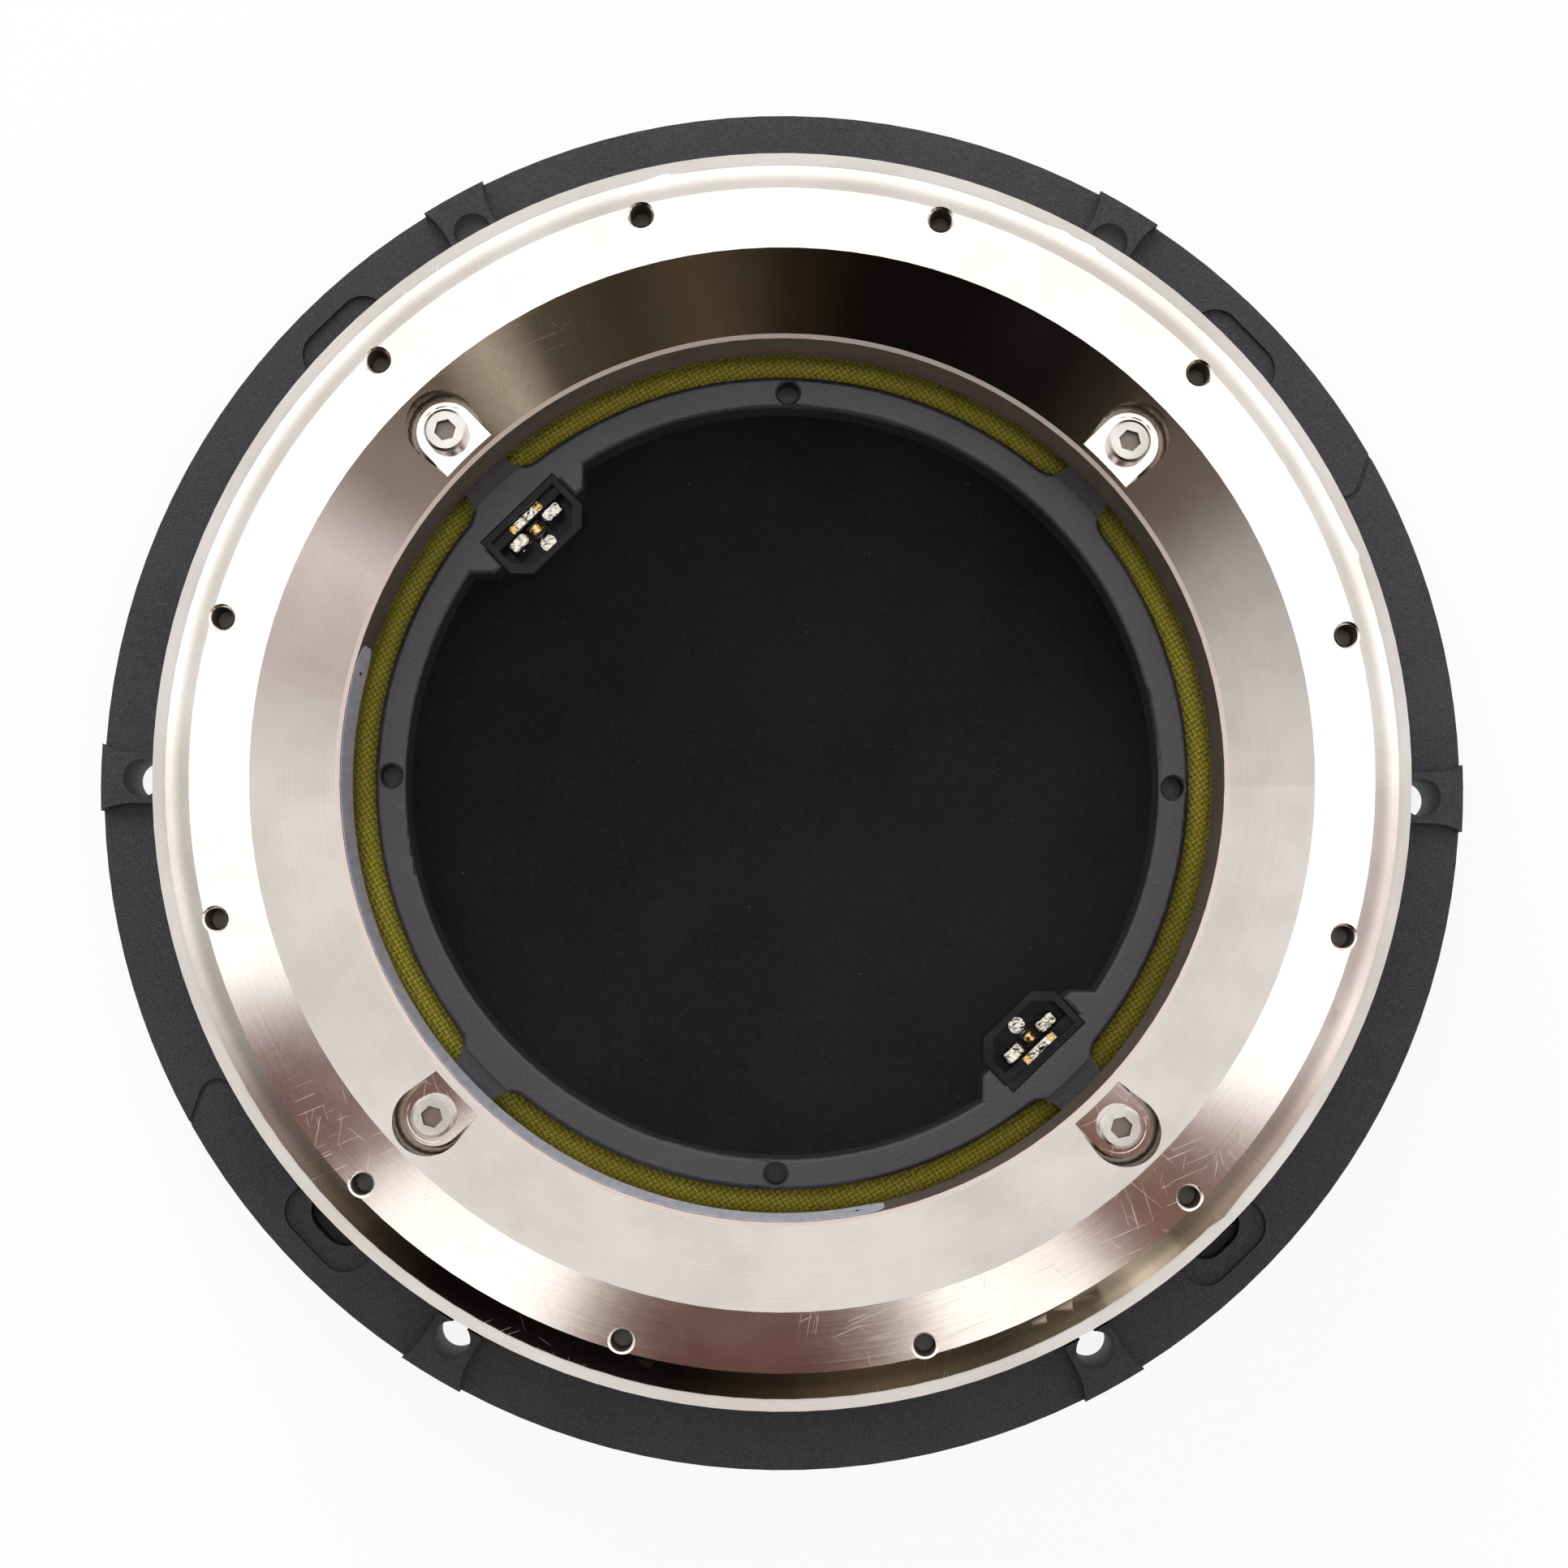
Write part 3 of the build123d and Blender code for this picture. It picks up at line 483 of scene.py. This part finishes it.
def diaphragmPulp(look):
    material, net = newMaterial("diaphragmPulp")
    place = net.place()
    x, y, z = net.parts(place)
    fibreA = net.noise(net.vector(x * 900, y * 5200, z * 900), 1.0, 2, 0.6)
    fibreB = net.noise(net.vector(x * 5200, y * 900, z * 900), 1.0, 2, 0.6)
    felt = net.maths("MAXIMUM", fibreA, fibreB)
    patch = net.remap(net.noise(place, 45, 4, 0.6), 0.3, 0.7)
    lint = net.remap(net.noise(place, 1500, 1, 0.3), 0.80, 0.85)
    colour = net.mix(patch, look["dark"], look["light"])
    colour = net.mix(net.remap(felt, 0.5, 0.8) * 0.5, colour, look["fibre"])
    colour = net.mix(lint * 0.35, colour, (0.16, 0.16, 0.17))
    roughness = 0.95 - net.remap(felt, 0.5, 0.8) * 0.12
    normal = net.bump(felt, 0.00012)
    return finishMaterial(material, net, Base_Color=colour, Roughness=roughness, Normal=normal,
                          Specular_IOR_Level=0.25, Sheen_Weight=0.04, Sheen_Roughness=0.6)


weaveLook = {"turn": 33, "thread": 0.00066, "yarn": (0.82, 0.70, 0.080), "deep": (0.30, 0.235, 0.014),
             "pale": (0.84, 0.74, 0.20), "resin": (0.42, 0.32, 0.02), "depth": 0.00030}


# plain weave on the flat cloth's own grid, as it was before it was pressed in waves
def wovenCloth(look):
    material, net = newMaterial("wovenCloth")
    place = net.place()
    x, y, z = net.parts(place)
    turn = math.radians(look["turn"])
    u = (x * math.cos(turn) + y * math.sin(turn)) * (math.pi / look["thread"])
    v = (y * math.cos(turn) - x * math.sin(turn)) * (math.pi / look["thread"])
    sineU, sineV = net.maths("SINE", u), net.maths("SINE", v)
    over = net.remap(sineU * sineV, -0.12, 0.12)
    ridgeU = net.maths("ABSOLUTE", sineU) ** 0.6
    ridgeV = net.maths("ABSOLUTE", sineV) ** 0.6
    height = over * ridgeU + (1 - over) * ridgeV
    strand = net.noise(net.vector(u * 1.3, v * 1.3, z * 3000), 2.2, 3, 0.7)
    resin = net.remap(net.noise(place, 140, 4, 0.6), 0.3, 0.72)
    # painted shade: the low parts of the weave between threads are coloured darker
    colour = net.mix(net.remap(height, 0.15, 0.95), look["deep"], look["yarn"])
    colour = net.mix(net.remap(strand, 0.5, 0.8) * 0.6, colour, look["pale"])
    colour = net.mix(resin * 0.25, colour, look["resin"])
    roughness = 0.62 - net.remap(height, 0.4, 1.0) * 0.14 + resin * 0.08
    normal = net.bump(height * 0.85 + strand * 0.2, look["depth"])
    return finishMaterial(material, net, Base_Color=colour, Roughness=roughness, Normal=normal,
                          Sheen_Weight=0.12, Sheen_Roughness=0.45)


linerLook = {"dark": (0.100, 0.078, 0.062), "light": (0.175, 0.140, 0.115), "edge": (0.060, 0.046, 0.036)}


def woundPaper(look):
    material, net = newMaterial("woundPaper")
    place = net.place()
    x, y, z = net.parts(place)
    heading = net.maths("ARCTAN2", y, x)
    wraps = net.noise(net.vector(heading * 8, z * 5200, 0), 1.0, 3, 0.6)
    fibre = net.noise(place, 1900, 3, 0.7)
    stain = net.remap(net.noise(place, 90, 4, 0.6), 0.35, 0.75)
    colour = net.mix(net.remap(wraps * 0.6 + fibre * 0.4, 0.3, 0.7), look["dark"], look["light"])
    colour = net.mix(stain * 0.35, colour, look["edge"])
    normal = net.bump(wraps * 0.5 + fibre * 0.6, 0.00005)
    return finishMaterial(material, net, Base_Color=colour, Roughness=1.0 - fibre * 0.12, Normal=normal,
                          Specular_IOR_Level=0.06)


foamLook = {"wall": (0.034, 0.034, 0.035), "cell": (0.011, 0.011, 0.012), "cloud": (0.022, 0.022, 0.023),
            "cells": 1900, "depth": 0.00012}


def foamSkin(look):
    material, net = newMaterial("foamSkin")
    place = net.place()
    socketValues = {"Vector": place, "Scale": look["cells"]}
    cells = net.node("ShaderNodeTexVoronoi", {"feature": "DISTANCE_TO_EDGE"}, socketValues)
    walls = net.remap(cells, 0.0, 0.22)
    cloud = net.remap(net.noise(place, 120, 3), 0.3, 0.7)
    # painted shade: the hollow cells are coloured darker than their walls
    colour = net.mix(walls, look["wall"], look["cell"])
    colour = net.mix(cloud * 0.3, colour, look["cloud"])
    return finishMaterial(material, net, Base_Color=colour, Roughness=0.85 - walls * 0.1,
                          Normal=net.bump(1 - walls, look["depth"]))


windingLook = {"tint": (0.56, 0.22, 0.09), "shade": (0.30, 0.10, 0.04)}


def enamelledWire(look):
    material, net = newMaterial("enamelledWire")
    place = net.place()
    x, y, z = net.parts(place)
    lay = net.noise(net.vector(net.maths("ARCTAN2", y, x) * 5, z * 2600, 0), 1.0, 2)
    varnish = net.remap(net.noise(place, 160, 3), 0.35, 0.7)
    colour = net.mix(lay, look["shade"], look["tint"])
    return finishMaterial(material, net, Base_Color=colour, Metallic=0.9, Roughness=varnish * 0.2 + 0.2,
                          Normal=net.bump(lay, 0.00003), Coat_Weight=varnish * 0.5)


tinselLook = {"dark": (0.36, 0.17, 0.07), "light": (0.80, 0.50, 0.26), "dull": (0.22, 0.11, 0.05)}


def braidedTinsel(look):
    material, net = newMaterial("braidedTinsel")
    place = net.place()
    fine = net.noise(place, 6500, 2, 0.7)
    dull = net.remap(net.noise(place, 500, 3), 0.4, 0.7)
    colour = net.mix(fine, look["dark"], look["light"])
    colour = net.mix(dull * 0.35, colour, look["dull"])
    return finishMaterial(material, net, Base_Color=colour, Metallic=1.0, Roughness=dull * 0.2 + 0.28,
                          Normal=net.bump(fine, 0.00003))


materials = {name: turnedMetal(name, look) for name, look in metalLooks.items()}
materials.update({name: mouldedPlastic(name, look) for name, look in plasticLooks.items()})
materials["nickelPlate"] = nickelPlate(nickelLook)
materials["castBlack"] = powderCoat("castBlack", castLook)
materials["castCharcoal"] = powderCoat("castCharcoal", hubLook)
materials.update({name: tinnedMetal(name, look) for name, look in tinnedLooks.items()})
materials["diaphragmPulp"] = diaphragmPulp(diaphragmLook)
materials["wovenCloth"] = wovenCloth(weaveLook)
materials["woundPaper"] = woundPaper(linerLook)
materials["foamSkin"] = foamSkin(foamLook)
materials["enamelledWire"] = enamelledWire(windingLook)
materials["braidedTinsel"] = braidedTinsel(tinselLook)
print("finishes made:", len(materials))


# which finish each CAD piece that stays in view gets
finishOf = {
    "basket": "castBlack", "hub_frame": "castCharcoal", "trim_ring": "blackAnodised",
    "motor_screws": "blackSteel", "locating_pins": "plainSteel", "yoke_cup": "nickelPlate",
    "magnet_blocks": "magnetPlate", "pole_plate": "plainSteel", "copper_sleeve": "copperSheet",
    "outer_pole_ring": "plainSteel", "shorting_ring": "turnedAluminium", "bore_liner": "woundPaper",
    "hub_screws": "screwSteel", "suspension_clamp": "mattePlastic", "diaphragm": "diaphragmPulp",
    "coil_former": "formerFoil", "former_collar": "mattePlastic",
}
for side in ("left", "right"):
    finishOf.update({
        f"terminal_housing_{side}": "terminalPlastic", f"terminal_lugs_{side}": "tinned",
        f"contact_strip_{side}": "tinned", f"strip_ends_{side}": "solderedCopper",
        f"contact_clip_{side}": "solderedCopper", f"terminal_rivet_{side}": "tinned",
        f"lead_tab_{side}": "copperSheet",
    })
for nodeName, finish in finishOf.items():
    node = nodes[nodeName]
    if not node.material_slots:
        node.data.materials.append(materials[finish])
    for materialSlot in node.material_slots:
        materialSlot.material = materials[finish]
print("CAD pieces finished:", len(finishOf))


# a mesh piece with its normals outward, smooth but for its sharp edges
def addPiece(name, vertices, faces, finish, sharp):
    mesh = bpy.data.meshes.new(name)
    mesh.from_pydata([tuple(v) for v in vertices], [], faces)
    work = bmesh.new()
    work.from_mesh(mesh)
    bmesh.ops.recalc_face_normals(work, faces=work.faces)
    work.to_mesh(mesh)
    work.free()
    mesh.shade_smooth()
    mesh.set_sharp_from_angle(angle=math.radians(sharp))
    mesh.materials.append(materials[finish])
    piece = bpy.data.objects.new(name, mesh)
    bpy.context.scene.collection.objects.link(piece)
    return piece


# turns a closed outline of (radius, height), in millimetres, about Z
def spin(name, outline, finish, steps, sharp):
    count = len(outline)
    vertices, faces = [], []
    for step in range(steps):
        angle = math.tau * step / steps
        c, s = math.cos(angle) * mm, math.sin(angle) * mm
        vertices += [(r * c, r * s, z * mm) for r, z in outline]
    for step in range(steps):
        here, ahead = step * count, (step + 1) % steps * count
        faces += [(here + i, here + (i + 1) % count, ahead + (i + 1) % count, ahead + i) for i in range(count)]
    return addPiece(name, vertices, faces, finish, sharp)


# both faces of a thin skin whose middle runs through these points
def skin(middle, wall):
    points = np.array(middle, float)
    along = np.gradient(points, axis=0)
    along /= np.linalg.norm(along, axis=1)[:, None]
    across = np.stack([-along[:, 1], along[:, 0]], axis=1) * wall / 2
    return [tuple(p) for p in points + across] + [tuple(p) for p in (points - across)[::-1]]


# bakes the piece's placement into its mesh
def bendByRadius(piece):
    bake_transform(piece)


# woven inner suspension, pressed in waves, in millimetres
suspensionLook = {"inner": 51.25, "first": 54.3, "last": 69.4, "outer": 69.85, "middle": 30.35,
                  "waves": 5, "height": 1.30, "wall": 0.42}


def waveLine(look):
    spots = [(r, look["middle"]) for r in np.linspace(look["inner"], look["first"] - 0.35, 8)]
    for r in np.linspace(look["first"], look["last"], 111):
        phase = (r - look["first"]) / (look["last"] - look["first"]) * math.pi * look["waves"]
        lift = math.sin(phase)
        spots.append((r, look["middle"] + look["height"] * math.copysign(abs(lift) ** 0.8, lift)))
    spots.append((look["outer"], look["middle"]))
    return spots


wave = skin(waveLine(suspensionLook), suspensionLook["wall"])
suspension = spin("wovenSuspension", wave, "wovenCloth", 360, 60)
bendByRadius(suspension)
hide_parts("inner_suspension")
print("inner suspension made")


# rubber surround, its roll towards the front
surroundLook = {"inner": 71.05, "rollFrom": 72.95, "rollTo": 80.45, "outer": 84.15, "middle": 18.7,
                "roll": 3.75, "wall": 0.56}


def rollLine(look):
    centre = (look["rollFrom"] + look["rollTo"]) / 2
    half = (look["rollTo"] - look["rollFrom"]) / 2
    spots = [(r, look["middle"]) for r in np.linspace(look["inner"], look["rollFrom"] - 0.25, 4)]
    for angle in np.linspace(math.pi, 0, 49)[1:-1]:
        spots.append((centre + half * math.cos(angle), look["middle"] - look["roll"] * math.sin(angle)))
    spots += [(r, look["middle"]) for r in np.linspace(look["rollTo"] + 0.25, look["outer"], 5)]
    return spots


surround = spin("rubberSurround", skin(rollLine(surroundLook), surroundLook["wall"]), "surroundRubber", 288, 50)
bendByRadius(surround)
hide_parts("surround")
print("surround made")


# foam gasket on the front of the flange
gasketLook = {"inner": 85.2, "outer": 93.6, "front": 0.0, "back": 1.5, "round": 0.45,
              "holes": 6, "holeCircle": 88.65, "hole": 3.2}


def foamGasket(look):
    low, high, edge = look["front"], look["back"], look["round"]
    outline = []
    corners = [(look["outer"], low, 1, -1), (look["outer"], high, 1, 1), (look["inner"], high, -1, 1),
               (look["inner"], low, -1, -1)]
    for r, z, sideR, sideZ in corners:
        turns = np.linspace(0, math.pi / 2, 5)
        arc = [(r - sideR * edge * (1 - math.cos(t)), z - sideZ * edge * (1 - math.sin(t))) for t in turns]
        outline += arc if sideR * sideZ > 0 else arc[::-1]
    piece = spin("foamGasket", outline, "foamSkin", 240, 60)
    cutters = []
    for index in range(look["holes"]):
        angle = math.tau * index / look["holes"]
        bpy.ops.mesh.primitive_cylinder_add(
            vertices=40, radius=look["hole"] * mm, depth=10 * mm,
            location=(look["holeCircle"] * math.cos(angle) * mm, look["holeCircle"] * math.sin(angle) * mm, 0))
        cutters.append(bpy.context.object)
    for cutter in cutters:
        cut = piece.modifiers.new("hole", "BOOLEAN")
        cut.object = cutter
        cut.solver = "EXACT"
        bpy.context.view_layer.objects.active = piece
        bpy.ops.object.modifier_apply(modifier=cut.name)
        bpy.data.objects.remove(cutter)
    piece.data.set_sharp_from_angle(angle=math.radians(50))
    return piece


gasket = foamGasket(gasketLook)
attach(gasket, "frame")
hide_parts("front_gasket")
print("gasket made")


# voice coil
coilLook = {"inner": 70.52, "outer": 71.48, "low": 34.95, "high": 43.85, "turns": 25}


def woundCoil(look):
    pitch = (look["high"] - look["low"]) / look["turns"]
    half = pitch / 2
    outline = [(look["inner"], look["low"])]
    for turn in range(look["turns"]):
        centre = look["low"] + (turn + 0.5) * pitch
        for angle in np.linspace(-80, 80, 5):
            angle = math.radians(angle)
            outline.append((look["outer"] - half + half * math.cos(angle), centre + half * math.sin(angle)))
    outline.append((look["inner"], look["high"]))
    return spin("woundCoil", outline, "enamelledWire", 200, 60)


coil = woundCoil(coilLook)
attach(coil, "diaphragm_assembly")
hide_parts("voice_coil")
print("voice coil made")


# bare label strip in the bore, with a minus and a plus
labelLook = {"from": 163.1, "to": 284.4, "low": 37.7, "high": 49.9, "corner": 3.4,
             "front": 56.87, "back": 56.985,
             "paper": (0.62, 0.61, 0.68), "shade": (0.50, 0.50, 0.56), "ink": (0.035, 0.035, 0.045),
             "markInset": 3.6, "markHalf": 1.15, "markStroke": 0.22}


def labelPaper(look):
    material, net = newMaterial("labelPaper")
    place = net.place()
    x, y, z = net.parts(place)
    # headings run from 0 to 1 round the axis, with the seam clear of the strip
    heading = net.maths("ARCTAN2", 0 - y, 0 - x) * (180 / math.pi) + 180
    degree = math.radians(1) * look["front"] * mm
    middle = (look["low"] + look["high"]) / 2 * mm
    half, stroke = look["markHalf"] * mm, look["markStroke"] * mm
    inset = look["markInset"] * mm / degree
    up = net.maths("ABSOLUTE", z - middle)

    def across(angle):
        return net.maths("ABSOLUTE", (heading - angle) * degree)

    minus = (across(look["from"] + inset) < stroke) * (up < half)
    end = look["to"] - inset
    plusOne = (across(end) < stroke) * (up < half)
    plusTwo = (across(end) < half) * (up < stroke)
    ink = net.maths("MAXIMUM", minus, net.maths("MAXIMUM", plusOne, plusTwo))
    fibre = net.noise(place, 2600, 3, 0.6)
    ripple = net.noise(net.vector(heading * 0.9, z * 90, 0), 1.0, 2)
    colour = net.mix(net.remap(ripple, 0.3, 0.7), look["shade"], look["paper"])
    colour = net.mix(ink, colour, look["ink"])
    return finishMaterial(material, net, Base_Color=colour, Roughness=0.62 + (fibre - 0.5) * 0.2,
                          Normal=net.bump(fibre * 0.15 + ripple, 0.00006), Specular_IOR_Level=0.2)


def labelStrip(look):
    length = math.radians(look["to"] - look["from"]) * look["front"]
    corner, columns, rows = look["corner"], 260, 9
    vertices, faces = [], []
    steps = np.linspace(0, 1, columns)
    steps = 0.5 - 0.5 * np.cos(steps * math.pi)   # closer together at the rounded ends
    for face in ("front", "back"):
        for share in steps:
            nearEnd = min(share, 1 - share) * length
            bite = corner - math.sqrt(max(corner ** 2 - max(corner - nearEnd, 0) ** 2, 0))
            angle = math.radians(look["from"] + (look["to"] - look["from"]) * share)
            for row in range(rows):
                z = look["low"] + bite + (look["high"] - look["low"] - 2 * bite) * row / (rows - 1)
                vertices.append((look[face] * math.cos(angle) * mm, look[face] * math.sin(angle) * mm, z * mm))
    half = columns * rows
    for column in range(columns - 1):
        for row in range(rows - 1):
            a = column * rows + row
            quad = (a, a + 1, a + rows + 1, a + rows)
            faces += [quad, tuple(half + i for i in quad[::-1])]
        for row in (0, rows - 1):
            a = column * rows + row
            faces.append((a, a + rows, half + a + rows, half + a))
    for column in (0, columns - 1):
        for row in range(rows - 1):
            a = column * rows + row
            faces.append((a, a + 1, half + a + 1, half + a))
    return addPiece("labelStrip", vertices, faces, "labelPaper", 40)


materials["labelPaper"] = labelPaper(labelLook)
label = labelStrip(labelLook)
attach(label, "frame")
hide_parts("label_band")
print("label made")


# leads from the terminals to the coil; the route is (radius, height) in millimetres
leadLook = {"radius": 0.52, "strand": 0.17, "strands": 12, "twist": 5.2,
            "route": [(45.02, 30.35), (45.0, 27.9), (51.9, 23.0), (62.2, 22.1), (68.75, 25.3)]}


# points along the smooth line that the route's control points give
def smoothLine(points):
    curve = bpy.data.curves.new("route", "CURVE")
    curve.dimensions = "3D"
    spline = curve.splines.new("NURBS")
    spline.points.add(len(points) - 1)
    for spot, point in zip(spline.points, points):
        spot.co = (*point, 1)
    spline.order_u = 3
    spline.use_endpoint_u = True
    spline.resolution_u = 24
    holder = bpy.data.objects.new("route", curve)
    bpy.context.scene.collection.objects.link(holder)
    mesh = bpy.data.meshes.new_from_object(holder)
    line = np.array([v.co for v in mesh.vertices])
    bpy.data.objects.remove(holder)
    bpy.data.meshes.remove(mesh)
    return line


# strands that wind both ways round the line, over and under each other
def braid(name, line, look):
    steps = np.linalg.norm(np.diff(line, axis=0), axis=1)
    share = np.concatenate([[0], np.cumsum(steps)]) / steps.sum()
    fine = np.linspace(0, 1, 150)
    line = np.stack([np.interp(fine, share, line[:, axis]) for axis in range(3)], axis=1)
    along = np.gradient(line, axis=0)
    along /= np.linalg.norm(along, axis=1)[:, None]
    flat = np.cross(line[-1] - line[0], (0, 0, 1.0))     # the whole lead lies in one upright plane
    side = np.tile(flat / np.linalg.norm(flat), (len(line), 1))
    over = np.cross(side, along)
    vertices, faces, weights = [], [], []
    sides = 6
    ring = [(math.cos(math.tau * i / sides), math.sin(math.tau * i / sides)) for i in range(sides)]
    for index in range(look["strands"]):
        way = 1 if index % 2 else -1
        phase = math.tau * (index // 2) / (look["strands"] // 2)
        base = len(vertices)
        for spot, t in enumerate(fine):
            angle = phase + way * math.tau * look["twist"] * t
            depth = 1 + 0.16 * math.sin(angle * look["strands"] / 2 + (0 if way > 0 else math.pi))
            reach = (look["radius"] - look["strand"]) * mm * depth
            out = side[spot] * math.cos(angle) + over[spot] * math.sin(angle)
            for c, s in ring:
                turned = out * c + np.cross(along[spot], out) * s
                vertices.append(line[spot] + out * reach + turned * look["strand"] * mm)
                weights.append(t)
        for spot in range(len(fine) - 1):
            a, b = base + spot * sides, base + (spot + 1) * sides
            faces += [(a + i, a + (i + 1) % sides, b + (i + 1) % sides, b + i) for i in range(sides)]
        faces.append(tuple(base + i for i in range(sides))[::-1])
        faces.append(tuple(base + (len(fine) - 1) * sides + i for i in range(sides)))
    piece = addPiece(name, vertices, faces, "braidedTinsel", 60)
    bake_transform(piece)
    return piece


for side, heading in (("left", 135), ("right", 315)):
    c, s = math.cos(math.radians(heading)), math.sin(math.radians(heading))
    line = smoothLine([(r * c * mm, r * s * mm, z * mm) for r, z in leadLook["route"]])
    lead = braid(f"braidedLead_{side}", line, leadLook)
    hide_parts(f"lead_wire_{side}")
print("leads made")
